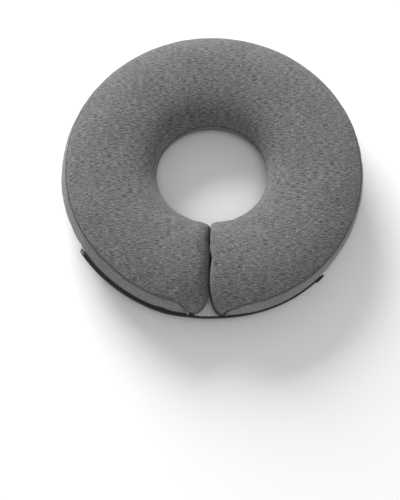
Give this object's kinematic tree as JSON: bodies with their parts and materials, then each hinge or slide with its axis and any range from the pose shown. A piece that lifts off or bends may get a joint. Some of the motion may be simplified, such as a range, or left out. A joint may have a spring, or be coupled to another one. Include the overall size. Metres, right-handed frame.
{
  "type": "inflatable recovery collar",
  "caption": "Soft air-filled ring in a knitted cover that closes round a pet's neck, slit on one side and held shut by a strap across the slit.",
  "frame": {"origin": "on the floor under the middle of the neck opening, with the collar lying on its flattened back", "axes": "+Z out of the front face, -Y to the slit, +X to the end that carries the sewn strap"},
  "size_m": [0.2996, 0.3074, 0.064],
  "materials": {
    "knit_cover": "heather grey jersey knit, matt",
    "knit_gusset": "the same heather grey knit, cut across its grain",
    "bladder_vinyl": "soft translucent vinyl film",
    "valve_plastic": "moulded, slightly satin",
    "loop_pile": "black loop pile tape",
    "strap_webbing": "black woven tape with hook tape on its inner face"
  },
  "bodies": {
    "root": {"front_panel": "knit_cover", "back_panel": "knit_cover", "side_gusset": "knit_gusset", "air_bladder": "bladder_vinyl", "inflation_valve": "valve_plastic", "loop_strip": "loop_pile", "hook_strap": "strap_webbing"}
  },
  "joints": []
}
